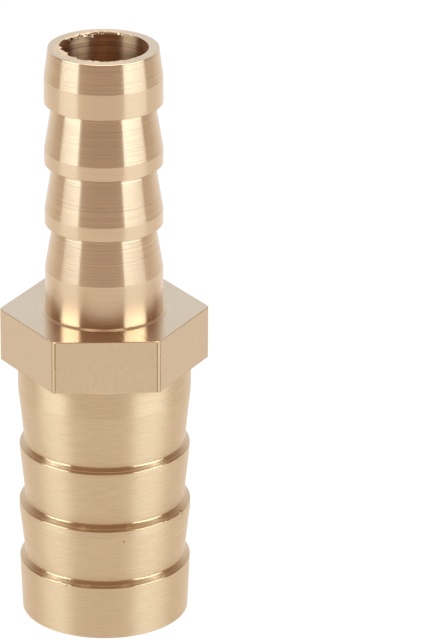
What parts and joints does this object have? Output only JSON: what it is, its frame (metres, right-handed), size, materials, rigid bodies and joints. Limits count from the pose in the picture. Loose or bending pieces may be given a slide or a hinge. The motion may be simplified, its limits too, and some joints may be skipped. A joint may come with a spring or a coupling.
{
  "type": "hose barb reducer",
  "caption": "Straight one-piece brass fitting that joins a wider hose to a narrower one, with barbed ends either side of a spanner hexagon.",
  "frame": {"origin": "centre of the large end's face, on which the fitting stands", "axes": "+Z along the bore towards the small end, one flat of the hexagon faces -Y, corners of the hexagon lie on +X and -X"},
  "size_m": [0.0148, 0.013, 0.043],
  "materials": {
    "turned_brass": "bright turned brass, fine tool marks"
  },
  "bodies": {
    "root": {"reducer_body": "turned_brass"}
  },
  "joints": []
}
